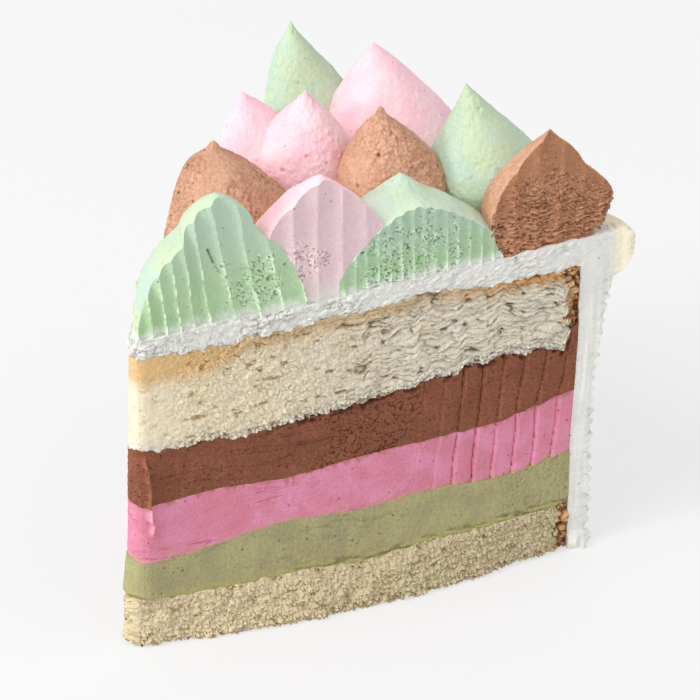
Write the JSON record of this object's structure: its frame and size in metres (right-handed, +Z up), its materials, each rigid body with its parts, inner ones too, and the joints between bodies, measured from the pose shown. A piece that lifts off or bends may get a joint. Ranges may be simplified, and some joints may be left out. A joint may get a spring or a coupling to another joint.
{
  "type": "ice cream cake slice",
  "caption": "Wedge cut from a round layered ice cream cake: sponge, green, pink and chocolate ice cream, sponge, white icing and piped cream drops that the knife has cut.",
  "frame": {"origin": "middle of the slice's base, on the surface that it stands on", "axes": "+X from the cut tip to the iced rim, +Y from the near cut face to the far one, +Z up"},
  "size_m": [0.1025, 0.0835, 0.0985],
  "materials": {
    "sponge": "torn pale yellow sponge crumb, dry and matt, browned at its crust",
    "pistachio_ice_cream": "olive green ice cream, cut smooth",
    "berry_ice_cream": "strong pink ice cream with knife ridges",
    "chocolate_ice_cream": "brown ice cream with fine ice pores and knife ridges",
    "icing": "white whipped icing, soft sheen, combed round the rim",
    "mint_cream": "pale green whipped cream, matt, darker where it is cut",
    "pink_cream": "pale pink whipped cream, matt, darker where it is cut",
    "chocolate_cream": "light brown whipped cream with small pores, darker where it is cut"
  },
  "bodies": {
    "root": {"base_sponge": "sponge", "pistachio_ice_cream": "pistachio_ice_cream", "berry_ice_cream": "berry_ice_cream", "chocolate_ice_cream": "chocolate_ice_cream", "top_sponge": "sponge", "icing": "icing", "kiss_mint_1": "mint_cream", "kiss_mint_2": "mint_cream", "kiss_mint_3": "mint_cream", "kiss_mint_4": "mint_cream", "kiss_pink_1": "pink_cream", "kiss_pink_2": "pink_cream", "kiss_pink_3": "pink_cream", "kiss_pink_4": "pink_cream", "kiss_chocolate_1": "chocolate_cream", "kiss_chocolate_2": "chocolate_cream", "kiss_chocolate_3": "chocolate_cream"}
  },
  "joints": []
}
